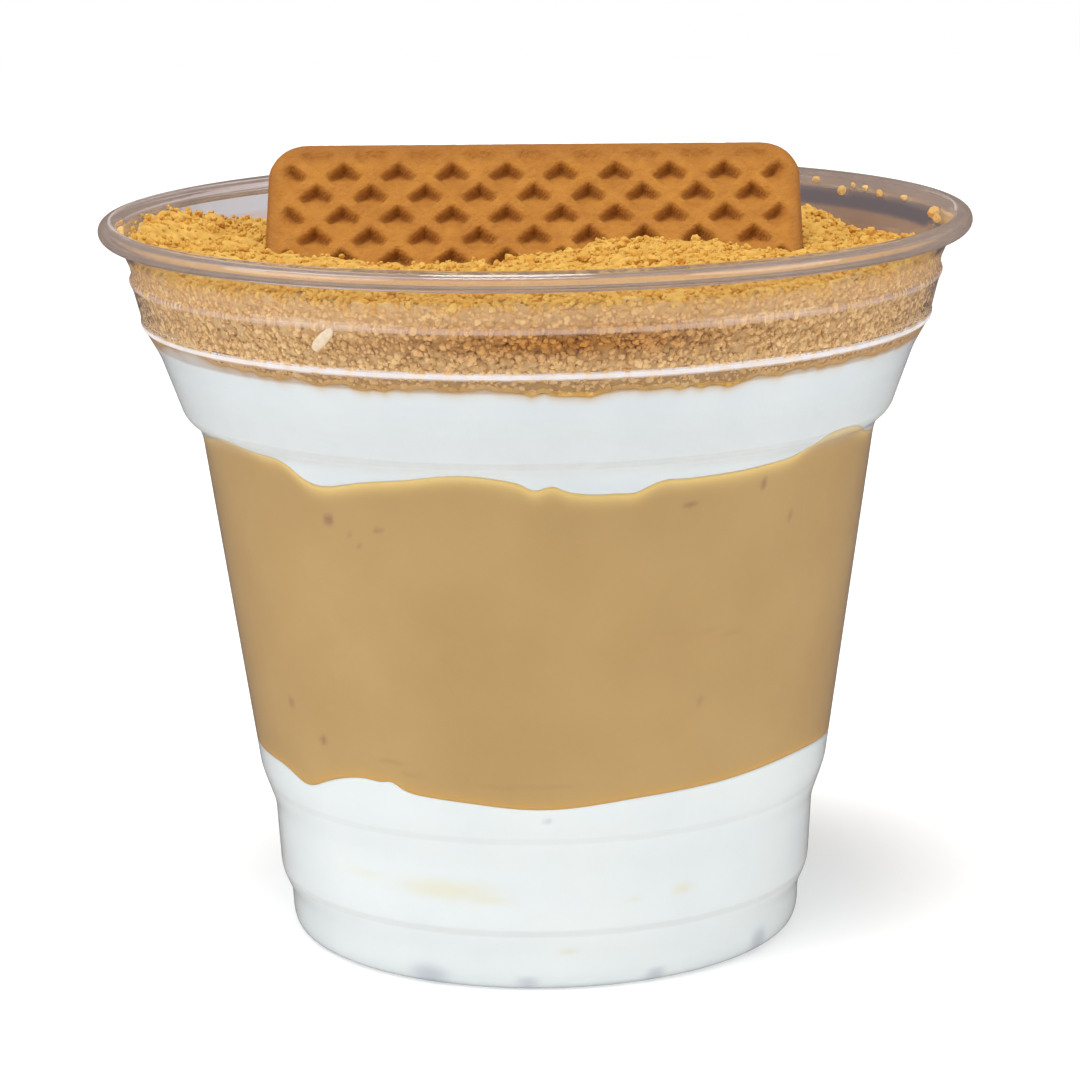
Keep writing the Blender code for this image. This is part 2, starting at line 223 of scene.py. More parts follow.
# Marks in the food by the wall: angle, height, half width, half height, strength
SPECKS = (
    *((-37.3, 50.3, 0.55, 0.6, 0.9), (-33.6, 49.0, 0.3, 0.3, 0.45), (-31.5, 47.9, 0.35, 0.3, 0.4)),
    *((-27.6, 49.8, 0.5, 0.3, 0.6), (-54.5, 29.1, 0.4, 0.7, 0.6), (-45.9, 25.9, 0.5, 0.5, 0.8)),
    *((25.2, 52.1, 0.7, 0.3, 0.8), (39.5, 53.2, 0.4, 0.6, 0.8), (46.9, 49.2, 0.4, 0.6, 0.5)),
    *((29.8, 31.1, 0.4, 0.6, 0.35), (-104, 44, 0.5, 0.6, 0.7), (150, 36, 0.6, 0.4, 0.6)),
    *((-160, 48, 0.4, 0.5, 0.7), (98, 30, 0.5, 0.5, 0.6), (-130, 27, 0.6, 0.5, 0.5)),
)
STREAKS = (
    *((21.9, 38.95, 1.6, 0.1, 0.5), (28.7, 38.6, 2.2, 0.09, 0.6), (36.5, 37.8, 1.6, 0.1, 0.4)),
    *((-29.5, 24.9, 1.6, 0.25, 0.5), (-25.0, 23.8, 1.2, 0.2, 0.5), (-4.0, 23.0, 5.5, 0.25, 0.35)),
)
VOIDS = (
    *((-20.5, 11.1, 5.2, 1.05, 1.0), (-12.0, 10.3, 2.6, 0.45, 0.8), (-40.0, 11.5, 2.4, 0.35, 0.6)),
    *((18.2, 9.85, 0.9, 0.3, 0.6), (29.5, 10.3, 1.2, 0.6, 0.9), (4.8, 4.5, 1.1, 0.35, 0.9)),
    *((125, 9.6, 3.2, 0.6, 0.8), (-120, 10.8, 2.4, 0.5, 0.7), (165, 5.0, 1.4, 0.4, 0.7)),
)
BASE_SPOTS = (
    *((-26.5, 1.2, 2.2, 1.2, 0.95), (-4.2, 1.1, 1.1, 0.6, 0.8), (24.7, 1.1, 1.1, 0.6, 0.9)),
    *((55.5, 1.5, 1.4, 1.3, 0.9), (100, 1.2, 1.4, 0.6, 0.8), (-140, 1.2, 1.8, 0.6, 0.8)),
)
GREY_DOTS = ((0.7, 19.4, 0.5, 0.3, 0.8),)
CREAM_DOTS = ((6.1, 60.7, 0.6, 0.3, 0.7),)
UPPER_PAINTED_SHADE = 0.32  # how much painted shade greys the upper yogurt


def screen(red, green, blue):
    """A colour as it shows on screen, from 0 to 255, as a linear colour."""
    shares = [value / 255 for value in (red, green, blue)]
    return (*(((share + 0.055) / 1.055) ** 2.4 for share in shares), 1)


# Colours
YOGURT, YOGURT_SHADE = screen(232, 238, 237), screen(227, 234, 234)
CARAMEL, CARAMEL_SHADE = screen(190, 156, 98), screen(185, 150, 93)
CRUMB_GOLD, CRUMB_DEEP = screen(224, 182, 93), screen(212, 157, 68)
CRUMB_TAN, CRUMB_TAN_DEEP = screen(240, 205, 152), screen(215, 173, 116)
CRUMB_RICH, CRUMB_RICH_DEEP = screen(212, 150, 70), screen(154, 96, 36)
# the second colour is painted shade for the gaps between crumbs
CRUMB_BROWN, CRUMB_GAP_SHADE = screen(178, 120, 56), screen(92, 52, 20)
BISCUIT, BISCUIT_SHADE = screen(182, 121, 47), screen(168, 108, 41)
NUT, NUT_SHADE = screen(240, 224, 196), screen(228, 206, 172)
PLASTIC, PLASTIC_SHADE = (0.95, 0.94, 0.95, 1), (0.92, 0.91, 0.92, 1)
SHADE_OF_WALL = (0.94, 0.94, 0.94, 1)
# Marks painted on each food, in order: their name, greatest share and colour
YOGURT_MARKS = (
    ("cream", 1, screen(228, 228, 210)),
    # grey: grey spots by the base, and painted shade over the upper yogurt
    ("grey", 1, screen(196, 203, 209)),
    ("brown", 1, screen(205, 172, 128)),
)
CARAMEL_MARKS = (
    ("gold", 1, screen(240, 206, 126)),
    ("rust", 1, screen(204, 158, 82)),
    ("streak", 1, screen(172, 132, 80)),
    ("speck", 1, screen(150, 108, 82)),
)
BISCUIT_MARKS = (
    ("tone", 0.25, screen(196, 138, 62)),
    ("toasted", 0.8, screen(152, 98, 44)),
    # depth: painted shade on the pits' upper walls and floors
    ("depth", 0.75, screen(128, 70, 16)),
)
# Films on the wall: least and greatest height, soft edge, share of the film, its colour. Some are
# haze and crumb dust, some painted highlight and painted shade, as noted on each
FILMS = (
    (76.0, 78.0, 0.8, 0.09, screen(244, 216, 192)),  # rolled rim: haze, tinted with painted light of the crumbs seen through it
    (71.9, 73.7, 0.4, 0.2, screen(222, 178, 130)),  # neck, low: haze and crumb dust
    (71.2, 71.5, 0.12, 0.35, screen(214, 184, 166)),  # stacking ring: painted highlight line
    (66.65, 67.0, 0.15, 0.75, screen(232, 228, 230)),  # lower edge of the collar: painted highlight line
    (65.2, 66.4, 0.3, 0.5, screen(146, 116, 86)),  # under the collar, browner and darker
    (57.6, 60.0, 2.5, 0.25, screen(196, 197, 193)),  # upper band: painted shade
    (57.0, 57.5, 0.2, 0.22, screen(176, 174, 160)),  # upper band's lower edge: painted shade line at the wall's step
    # painted shade lines at the wall's two lower steps
    (16.8, 17.2, 0.3, 0.1, screen(176, 170, 160)),
    (6.5, 6.9, 0.3, 0.16, screen(170, 164, 150)),
)
MATT = 0.2  # specular level of crumbs and biscuit
GAP_SHADE_FROM, GAP_SHADE_TO = 0.3, 0.95  # depths between which painted shade darkens the gaps between crumbs
GAP_SHADE, RICH_GAP_SHADE = 0.3, 0.9  # how far that painted shade goes, and in the browner part

# Skins: size of rough patches, least and greatest roughness, and the bumps' size, detail, depth
YOGURT_SKIN = ((1.5, 0.35, 0.5), (1.2, 3, 0.05))
CARAMEL_SKIN = ((2, 0.35, 0.5), (1.0, 3, 0.05))
CRUMB_SKIN = ((0.5, 0.7, 0.95), (0.25, 4, 0.12))
BISCUIT_SKIN = ((1, 0.6, 0.9), (0.4, 5, 0.25))
NUT_SKIN = ((0.6, 0.5, 0.7), (0.3, 3, 0.05))
PLASTIC_SKIN = ((2.5, 0.02, 0.07), (6, 2, 0.02))
# Noise: size of soft patches, spans of it taken in, and size, detail and spans of the rest
YOGURT_PATCH, CARAMEL_PATCH, BISCUIT_PATCH = 9, 12, (2.5, 6)
NUT_PATCH, PLASTIC_PATCH, FLOOR_PATCH = 0.8, 14, 40
SOFT_SPAN, WIDE_SPAN = (0.35, 0.65), (0.3, 0.7)
SPECKLE, SPECKLE_SPAN = (0.35, 4), (0.5, 0.75, 0, 0.35)
PLASTIC_SPAN = (0.4, 0.7)
FILM_PATCH, FILM_SHARES = (3, 4), (0.75, 1.0)
PLASTIC_BEND = 1.5  # index of refraction

# Setting
FLOOR_REACH = 1.0
FLOOR, FLOOR_SHADE = (0.85, 0.85, 0.85, 1), (0.84, 0.84, 0.84, 1)
FLOOR_GLOW = 0.25
FLOOR_ROUGH = 0.9
CLEAR_WALLS = 32  # of clear plastic that light is followed through
ROOM_LIGHT = (0.42, 0.42, 0.425, 1)
ROOM_SEEN, ROOM_PALE = (0.16, 0.13, 0.13, 1), (0.66, 0.63, 0.64, 1)
# Where the room behind the cup is paler: from its right end, to its left end, and straight on
PALE_RIGHT, PALE_LEFT, PALE_AHEAD = (-0.01, -0.06), (-0.108, -0.096), (0.9, 0.96)
ROOM_BEHIND = (1, 1, 1, 1)
# Each sun's direction, strength, width in degrees and colour
SUNS = (
    ("key", (-0.08, -0.2, 1.0), 2.3, 28, (1, 0.995, 0.98)),
    ("right", (1.2, -0.6, 0.4), 0.95, 45, (0.99, 0.995, 1)),
    ("left", (-1.2, -0.6, 0.4), 1.15, 50, (0.99, 0.995, 1)),
)


# Lines and surfaces


def inset(line, distance):
    """The line moved to its left, with mitred corners."""
    runs = np.diff(line, axis=0)
    runs /= np.linalg.norm(runs, axis=1)[:, None]
    sides = np.stack([-runs[:, 1], runs[:, 0]], axis=1)
    first = np.concatenate([sides[:1], sides])
    second = np.concatenate([sides, sides[-1:]])
    stretch = 1 + (first * second).sum(axis=1)
    return line + (first + second) * distance / stretch[:, None]


def rounded(line, reach):
    """The line with a short curve in place of each corner."""
    points = [line[0]]
    for before, corner, after in zip(line, line[1:], line[2:]):
        back, on = before - corner, after - corner
        start = corner + back * min(CORNER_SHARE, reach / np.linalg.norm(back))
        end = corner + on * min(CORNER_SHARE, reach / np.linalg.norm(on))
        for share in np.linspace(0, 1, CORNER_STEPS):
            rest = 1 - share
            points.append(rest**2 * start + 2 * share * rest * corner + share**2 * end)
    points.append(line[-1])
    return np.array(points)


def wall_line(tiers):
    """The outside of the cup from the middle of its base to its neck, as radius and height."""
    line = [(0, BASE_RISE), (BASE_RADIUS, BASE_RISE), (FOOT_INNER, 0), (FOOT_OUTER, 0), FOOT_EDGE]
    for tier in tiers:
        line += [(radius, height) for height, radius in tier]
    return np.array(line, float)


def curl_line():
    """The hollow side of the rolled rim, from the neck to the tip of the lip."""
    middle = np.array((RIM_RADIUS - CURL_RADIUS, CUP_HEIGHT - CURL_RADIUS))
    angles = np.radians(np.linspace(CURL_FROM, CURL_TO, CURL_STEPS))
    arc = middle + (CURL_RADIUS - WALL) * np.stack([np.cos(angles), np.sin(angles)], axis=1)
    heading = math.radians(LIP_HEADING)
    tip = arc[-1] + LIP_LENGTH * np.array((math.cos(heading), math.sin(heading)))
    return np.concatenate([arc, [tip]])


def food_line():
    """The outside of the food from the middle of the base to under the rim."""
    line = np.concatenate([wall_line(TIERS), curl_line()[:1]])
    return rounded(inset(line, WALL - IN_WALL), CORNER)


def swelling(edge, angle):
    """Height of a layer's edge at the wall, at each angle round the cup."""
    base, swells = edge
    height = np.full_like(angle, base)
    for middle, width, rise in swells:
        apart = (angle - middle + 180) % 360 - 180
        height += rise * np.exp(-((apart / width) ** 2))
    return height


def edge_height(edge, angle, radius):
    """Height of a layer's edge anywhere across the cup: level in the middle."""
    return edge[0] + eased(radius / SWELL_REACH) * (swelling(edge, angle) - edge[0])


def eased(value):
    """The value kept from 0 to 1, and slowed down towards both."""
    share = np.clip(value, 0, 1)
    return share * share * (3 - 2 * share)


def wavy(along, across, waves, bend, bends):
    """Waves along one way, bent by waves along another."""
    return np.sin(waves * along + bend * np.sin(bends * across))


def ragged_edge(angle, radius):
    """Height of the crumbs' uneven lower edge."""
    turn = np.radians(angle)
    grain = sum(rise * wavy(turn, turn, *wave) for rise, *wave in RAGGED_WAVES)
    by_wall = np.minimum(radius / SWELL_REACH, 1.0)
    return edge_height(CRUMB_FOOT, angle, radius) + by_wall * grain


def around(x, y):
    """Angle round the cup, with 0 at the front."""
    return np.degrees(np.arctan2(x, -y))


def heap_height(x, y):
    """Height of the heap of crumbs without its grain."""
    place, width, rise = CRUMB_HUMP
    middle = CRUMB_MIDDLE + rise * np.exp(-(((x - place) / width) ** 2))
    share = np.minimum(np.hypot(x, y) / CRUMB_REACH, CRUMB_PAST)
    return middle + (swelling(CRUMB_WALL, around(x, y)) - middle) * share**CRUMB_BOWL


def cells(across, along, spacing, seed, wrap=0):
    """Rounded bumps on a jittered grid: each point's height from 0 to 1, and its bump's tone."""
    size = wrap or TABLE
    table = np.random.default_rng(seed).random((size, TABLE, 4))
    column = np.floor(across / spacing).astype(int)
    row = np.floor(along / spacing).astype(int)
    best = np.full(across.shape, -1.0)
    tone = np.zeros(across.shape)
    for step_x in (-1, 0, 1):
        for step_y in (-1, 0, 1):
            cell = table[(column + step_x) % size, (row + step_y) % TABLE]
            middle_x = (column + step_x + BUMP_MARGIN + BUMP_PLAY * cell[..., 0]) * spacing
            middle_y = (row + step_y + BUMP_MARGIN + BUMP_PLAY * cell[..., 1]) * spacing
            wide = (BUMP_WIDE + BUMP_WIDER * cell[..., 2]) * spacing
            share = 1 - ((across - middle_x) ** 2 + (along - middle_y) ** 2) / wide**2
            height = np.sqrt(np.maximum(share, 0)) * (BUMP_TALL + BUMP_TALLER * cell[..., 3])
            higher = height > best
            best = np.where(higher, height, best)
            tone = np.where(higher, cell[..., 3], tone)
    return best, tone


# Meshes


def ring_faces(start, count, other_start, other_count):
    """Faces that join two rings of points, which may have different numbers of points."""
    if count == other_count:
        column = np.arange(count)
        beside = (column + 1) % count
        quads = (start + column, start + beside, other_start + beside, other_start + column)
        return np.stack(quads, axis=1).tolist()
    faces = []
    here = there = 0
    while here < count or there < other_count:
        a = start + here % count
        b = other_start + there % other_count
        first_leads = (here + 1) / count <= (there + 1) / other_count
        if here < count and (there == other_count or first_leads):
            here += 1
            faces.append((a, start + here % count, b))
        else:
            there += 1
            faces.append((a, other_start + there % other_count, b))
    return faces


def skin(rings):
    """Points and faces of a closed skin through rings of points round the cup's axis."""
    starts = np.cumsum([0] + [len(ring) for ring in rings]).tolist()
    faces = [list(range(len(rings[0]))), list(range(starts[-2], starts[-1]))]
    for first, second, start, other in zip(rings, rings[1:], starts, starts[1:]):
        faces += ring_faces(start, len(first), other, len(second))
    return np.concatenate(rings), faces


def placed(name, data):
    """A new object in the scene."""
    made = bpy.data.objects.new(name, data)
    bpy.context.scene.collection.objects.link(made)
    return made


def make_mesh(name, points, faces, look, soft=True):
    """A mesh of points in millimetres, with its faces turned outwards and shaded smooth if soft."""
    mesh = bpy.data.meshes.new(name)
    mesh.from_pydata((np.asarray(points) * MM).tolist(), [], faces)
    bm = bmesh.new()
    bm.from_mesh(mesh)
    bmesh.ops.recalc_face_normals(bm, faces=bm.faces)
    bm.to_mesh(mesh)
    bm.free()
    mesh.materials.append(look)
    if soft:
        mesh.shade_smooth()
    return placed(name, mesh)


def stand_for(piece, node):
    """Declares a finished piece, which rides on the cup's one body in place of a CAD node."""
    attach(piece, BODY)
    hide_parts(node)


def paint(piece, **values):
    """Stores numbers at the points of a piece, for its material to read."""
    for name, numbers in values.items():
        layer = piece.data.attributes.new(name, "FLOAT", "POINT")
        layer.data.foreach_set("value", np.asarray(numbers, np.float32))


def corner_places(piece):
    """Every point of a piece, in millimetres."""
    places = np.empty(len(piece.data.vertices) * 3)
    piece.data.vertices.foreach_get("co", places)
    return places.reshape(-1, 3) / MM


def on_circle(radius, height, angle):
    """Points at angles round the cup."""
    turn = np.radians(angle)
    return np.stack([radius * np.sin(turn), -radius * np.cos(turn), height + 0 * turn], axis=-1)


def polar(places):
    """Angle round the cup and distance from its axis of each point."""
    return around(places[..., 0], places[..., 1]), np.hypot(places[..., 0], places[..., 1])


def rotation(degrees, axis):
    """A turn round an axis."""
    return Matrix.Rotation(math.radians(degrees), 4, axis)


def carve_pocket(piece):
    """Takes the biscuit's room out of a piece."""
    sides = (BISCUIT_WIDTH, BISCUIT_LENGTH, BISCUIT_THICK)
    size = [(side + 2 * POCKET) * MM for side in sides]
    bm = bmesh.new()
    bmesh.ops.create_cube(bm, size=1, matrix=biscuit_frame() @ Matrix.Diagonal((*size, 1)))
    mesh = bpy.data.meshes.new("pocket")
    bm.to_mesh(mesh)
    bm.free()
    cutter = placed("pocket", mesh)
    cut = piece.modifiers.new("Pocket", "BOOLEAN")
    cut.operation = "DIFFERENCE"
    cut.solver = "EXACT"
    cut.object = cutter
    bpy.context.view_layer.update()
    shape = piece.evaluated_get(bpy.context.evaluated_depsgraph_get())
    made = bpy.data.meshes.new_from_object(shape)
    piece.modifiers.clear()
    piece.data = made
    bpy.data.objects.remove(cutter, do_unlink=True)


# The cup


def make_cup(look):
    plain = np.concatenate([wall_line(TIERS), curl_line()])
    inside = rounded(inset(plain, WALL), CORNER)
    beaded = (*TIERS[:COLLAR], (*BEAD, TIERS[COLLAR][-1]), *TIERS[COLLAR + 1 :])
    outside = rounded(np.concatenate([wall_line(beaded), curl_line()]), CORNER)
    angle = np.arange(CUP_COLUMNS) * 360 / CUP_COLUMNS
    profile = np.concatenate([outside[1:], inside[:0:-1]])
    rings = [on_circle(radius, height, angle) for radius, height in profile]
    cup = make_mesh("cup_shell", *skin(rings), look)
    stand_for(cup, "cup")


# The layers


def wall_rings(low, high, angle, spacing):
    """Rings of points on the food's wall, between two heights that vary round the cup."""
    line = food_line()
    steps = np.linalg.norm(np.diff(line, axis=0), axis=1)
    far = np.concatenate([[0], np.cumsum(steps)])
    lowest = int(np.flatnonzero(line[:, 1] == line[:, 1].min())[-1])
    rising = line[lowest:, 1], far[lowest:]
    start = np.full_like(angle, spacing) if low is None else np.interp(low, *rising)
    end = np.interp(high, *rising)
    rows = int((end - start).max() / spacing) + 2
    places = start + np.linspace(0, 1, rows)[:, None] * (end - start)
    return on_circle(np.interp(places, far, line[:, 0]), np.interp(places, far, line[:, 1]), angle)


def cap_rings(ring, edge, lift):
    """Rings of points across the cup inside a ring at the wall, along a layer's edge."""
    angle, reach = polar(ring)
    rings = []
    for share in np.linspace(1, 0, CAP_RINGS + 1)[1:-1]:
        rings.append(on_circle(share * reach, edge(angle, share * reach) + lift, angle))
    return rings


def caramel_foot(angle, radius):
    """Height of the caramel's lower edge."""
    return edge_height(CARAMEL_FOOT, angle, radius)


def caramel_top(angle, radius):
    """Height of the caramel's upper edge."""
    return edge_height(CARAMEL_TOP, angle, radius)


def layer_mesh(name, look, low, high):
    """A layer of food that fills the cup between two edges."""
    angle = np.arange(FOOD_COLUMNS) * 360 / FOOD_COLUMNS
    start = None if low is None else low(angle, CRUMB_REACH) + APART
    rings = wall_rings(start, high(angle, CRUMB_REACH) - APART, angle, ROW_SPACING)
    lower = [] if low is None else cap_rings(rings[0], low, APART)[::-1]
    return make_mesh(name, *skin([*lower, *rings, *cap_rings(rings[-1], high, -APART)]), look)


def marks(places, spots):
    """How strongly soft-edged spots mark each point near the wall."""
    angle, radius = polar(places)
    total = np.zeros(len(places))
    for middle, height, wide, tall, strength in spots:
        apart = np.radians((angle - middle + 180) % 360 - 180) * radius
        share = (apart / wide) ** 2 + ((places[:, 2] - height) / tall) ** 2
        total = np.maximum(total, strength * np.exp(-(share**SOFT_FALL)))
    return total


def near_edge(places, edge, width):
    """1 at a layer's edge, falling to 0 away from it."""
    apart = np.abs(places[:, 2] - edge(*polar(places)))
    return np.exp(-((apart / width) ** SOFT_FALL))


def make_bottom_yogurt(look):
    piece = layer_mesh("yogurt_bottom_food", look, None, caramel_foot)
    places = corner_places(piece)
    grey = np.maximum(marks(places, BASE_SPOTS), marks(places, GREY_DOTS))
    paint(piece, cream=marks(places, VOIDS), grey=grey, brown=np.zeros_like(grey))
    stand_for(piece, "yogurt_bottom")


def make_caramel(look):
    piece = layer_mesh("caramel_food", look, caramel_foot, caramel_top)
    places = corner_places(piece)
    paint(piece, speck=marks(places, SPECKS), streak=marks(places, STREAKS))
    paint(piece, gold=near_edge(places, caramel_top, GOLD_WIDTH))
    paint(piece, rust=near_edge(places, caramel_foot, RUST_WIDTH))
    stand_for(piece, "caramel_layer")


def make_top_yogurt(look):
    piece = layer_mesh("yogurt_top_food", look, caramel_top, ragged_edge)
    carve_pocket(piece)
    places = corner_places(piece)
    stained = near_edge(places, ragged_edge, STAIN_WIDTH)
    # Painted shade: the whole upper yogurt a little greyer
    grey = np.full_like(stained, UPPER_PAINTED_SHADE)
    paint(piece, cream=marks(places, CREAM_DOTS), grey=grey, brown=stained)
    stand_for(piece, "yogurt_top")


# The crumbs


def heap_relief(x, y):
    """Height, tone and depth of the grainy top of the heap; the depth sets painted shade between
    the granules.
    """
    grain, tone = cells(x + CRUMB_SHIFT, y + CRUMB_SHIFT, GRAIN, SEED)
    clump, clump_tone = cells(x + CRUMB_SHIFT, y + CRUMB_SHIFT, CLUMP, SEED + 1)
    wave = wavy(x, y, *HEAP_WAVES[0]) * wavy(y, x, *HEAP_WAVES[1])
    rise = GRAIN_RISE * (grain - MEAN_BUMP) + CLUMP_RISE * (clump - MEAN_BUMP) + WAVE_RISE * wave
    tone += (clump_tone - tone) * CLUMP_TONE
    return heap_height(x, y) + rise, tone, 1 - np.clip(grain, 0, 1)


def brink_height(angle):
    """Height of the grainy top of the heap at the wall."""
    brink = on_circle(CRUMB_REACH, 0, angle)
    return heap_relief(brink[:, 0], brink[:, 1])[0]


def side_relief(angle, height):
    """How far in from the wall each point of the crumbs' side lies, with its tone and depth; the
    depth sets painted shade in the gaps.
    """
    wrap = int(math.tau * CRUMB_REACH / GRAIN)
    spacing = math.tau * CRUMB_REACH / wrap
    along = (angle % 360) / 360 * wrap * spacing
    grain, tone = cells(along, height, spacing, SEED + 2, wrap)
    small, small_tone = cells(along, height, spacing / 2, SEED + 3, 2 * wrap)
    gap = eased(PACKING - np.maximum(grain, SMALL_RISE * small) - SMALL_FILL * small)
    foot = ragged_edge(angle, CRUMB_REACH)
    opening = np.clip((height - foot) / SEALED, 0, 1)
    tone += (small_tone - tone) * SMALL_TONE
    depth = LEAST_DEPTH + (1 - LEAST_DEPTH) * gap * opening
    return (RECESS + CREVICE * gap) * opening, tone, depth


def heap_rings(edge_ring):
    """Rings of points over the top of the heap, inside the ring at the wall."""
    angle, reach = polar(edge_ring)
    order = np.argsort(angle)
    rings = []
    for share in np.linspace(1, 0, int(CRUMB_REACH / HEAP_STEP))[1:-1]:
        number = max(LEAST_COLUMNS, round(HEAP_COLUMNS * share))
        spot = np.arange(number) * 360 / number
        radius = share * np.interp(spot, angle[order], reach[order], period=360)
        ring = on_circle(radius, 0, spot)
        ring[:, 2] = heap_relief(ring[:, 0], ring[:, 1])[0]
        rings.append(ring)
    return rings


def foot_rings(edge_ring):
    """A few coarse rings across the underside of the crumbs."""
    rings = []
    angle, reach = polar(edge_ring)
    for step, share in FOOT_RINGS:
        radius = share * reach[::step]
        rings.append(on_circle(radius, ragged_edge(angle[::step], radius) + APART, angle[::step]))
    return rings


def make_crumbs(look):
    """The heap as one piece, with granules in relief on its top and along the wall."""
    angle = np.arange(CRUMB_COLUMNS) * 360 / CRUMB_COLUMNS
    foot = ragged_edge(angle, CRUMB_REACH) + APART
    side = wall_rings(foot, brink_height(angle), angle, CRUMB_STEP)
    inward = side_relief(np.broadcast_to(angle, side.shape[:-1]), side[..., 2])[0]
    reach = np.hypot(side[..., 0], side[..., 1])
    side[..., :2] *= ((reach - inward) / reach)[..., None]
    rings = [*foot_rings(side[0])[::-1], *side, *heap_rings(side[-1])]
    heap = make_mesh("crumb_heap", *skin(rings), look)
    carve_pocket(heap)
    paint_crumbs(heap)
    stand_for(heap, "biscuit_crumbs")


def paint_crumbs(piece):
    """Stores which crumbs are pressed to the wall, each granule's tone, and the depth that sets
    painted shade in the gaps.
    """
    places = corner_places(piece)
    angle, reach = polar(places)
    top, top_tone, top_depth = heap_relief(places[:, 0], places[:, 1])
    _, side_tone, side_depth = side_relief(angle, places[:, 2])
    by_wall = np.clip((reach - WALL_START) / WALL_BLEND, 0, 1)
    below = np.clip((top - places[:, 2]) / WALL_BLEND, 0, 1)
    pressed = by_wall * below
    tone = top_tone + (side_tone - top_tone) * pressed
    depth = top_depth + (side_depth - top_depth) * pressed
    paint(piece, pressed=pressed, tone=tone, depth=depth, rich=richness(angle, places[:, 2]))


def richness(angle, height):
    """How far the crumbs by the wall are of the browner kind."""
    middle, width, level, half = RICH
    apart = (angle - middle + 180) % 360 - 180
    return np.exp(-((apart / width) ** 2) - ((height - level) / half) ** 2)


def turns(number, chance):
    """Random turns in space."""
    return np.linalg.qr(chance.normal(size=(number, 3, 3)))[0]


def round_ball(detail, radius):
    """Points and faces of a ball."""
    bm = bmesh.new()
    bmesh.ops.create_icosphere(bm, subdivisions=detail, radius=radius)
    points = np.array([vert.co for vert in bm.verts])
    faces = np.array([[vert.index for vert in face.verts] for face in bm.faces])
    bm.free()
    return points, faces


def grain_mesh(name, places, sizes, detail, chance, look, pressed=0.0):
    """Uneven little balls at given places, as one piece."""
    ball, sides = round_ball(detail, 1)
    number = len(places)
    stretch = chance.uniform(*GRAIN_STRETCH, (number, 1, 3))
    dents = chance.uniform(*GRAIN_DENT, (number, len(ball), 1))
    shapes = np.einsum("nij,nkj->nki", turns(number, chance), ball * stretch * dents)
    points = places[:, None] + shapes * sizes[:, None, None]
    faces = sides + np.arange(number)[:, None, None] * len(ball)
    piece = make_mesh(name, points.reshape(-1, 3), faces.reshape(-1, 3).tolist(), look, soft=False)
    tone = np.repeat(chance.uniform(0, 1, number), len(ball))
    rich = np.repeat(richness(around(places[:, 0], places[:, 1]), places[:, 2]), len(ball))
    pressed = np.repeat(np.broadcast_to(pressed, number), len(ball))
    paint(piece, tone=tone, pressed=pressed, depth=np.zeros_like(tone), rich=rich)
    stand_for(piece, "biscuit_crumbs")


def heap_places(number, sizes, chance):
    """Random places for loose crumbs on the heap, clear of the biscuit."""
    distance = GRAIN_SPREAD * np.sqrt(chance.uniform(0, 1, number))
    places = on_circle(distance, 0, chance.uniform(0, 360, number))
    lift = sizes * chance.uniform(*GRAIN_LIFT, number)
    places[:, 2] = heap_relief(places[:, 0], places[:, 1])[0] + lift
    to_slab = np.array(biscuit_frame().inverted())
    own = places * MM @ to_slab[:3, :3].T + to_slab[:3, 3]
    half = np.array((BISCUIT_WIDTH, BISCUIT_LENGTH, BISCUIT_THICK)) / 2
    clear = (np.abs(own) / MM >= half + CLEAR_BY * sizes[:, None]).any(axis=1)
    fits = clear & (distance < inner_radius(places[:, 2]) - sizes)
    return places[fits], sizes[fits]


def random_sizes(span, number, bias, chance):
    """Random radii in a span."""
    least, greatest = span
    return least + (greatest - least) * chance.uniform(0, 1, number) ** bias


def make_grains(look):
    """Loose granules and lumps on the heap."""
    chance = np.random.default_rng(SEED)
    kinds = (("crumb_grains", FINE_GRAINS, FINE_GRAIN, 1), ("crumb_nuggets", NUGGETS, NUGGET, 2))
    for name, number, span, detail in kinds:
        sizes = random_sizes(span, number, GRAIN_BIAS, chance)
        places, sizes = heap_places(number, sizes, chance)
        grain_mesh(name, places, sizes, detail, chance, look)


def inner_radius(height):
    """Radius of the inside of the cup's wall at each height."""
    line = inset(np.concatenate([wall_line(TIERS), curl_line()]), WALL)
    rising = line[:-CURL_PAST]
    return np.interp(height, rising[:, 1], rising[:, 0])


def make_wall_grains(look):
    """Granules that touch the wall, in front of the heap's side."""
    chance = np.random.default_rng(SEED + 2)
    sizes = random_sizes(WALL_GRAIN, WALL_GRAINS, WALL_BIAS, chance)
    angle = chance.uniform(0, 360, WALL_GRAINS)
    top = brink_height(angle)
    foot = ragged_edge(angle, CRUMB_REACH) + WALL_FOOT * sizes
    height = foot + (top - foot) * chance.uniform(0, 1, WALL_GRAINS)
    below = np.clip((top - height) / LOOSE_BLEND, 0, 1)
    places = on_circle(inner_radius(height) - IN_BY * sizes, height, angle)
    grain_mesh("wall_grains", places, sizes, 1, chance, look, pressed=below)


def make_strays(look):
    """Crumbs that stick to the inside of the rim."""
    chance = np.random.default_rng(SEED + 1)
    angle, height, size = np.array(STRAYS).T
    places = on_circle(inner_radius(height) - STRAY_IN * size, height, angle)
    grain_mesh("stray_crumbs", places, size, 2, chance, look, pressed=STRAY_PRESSED)


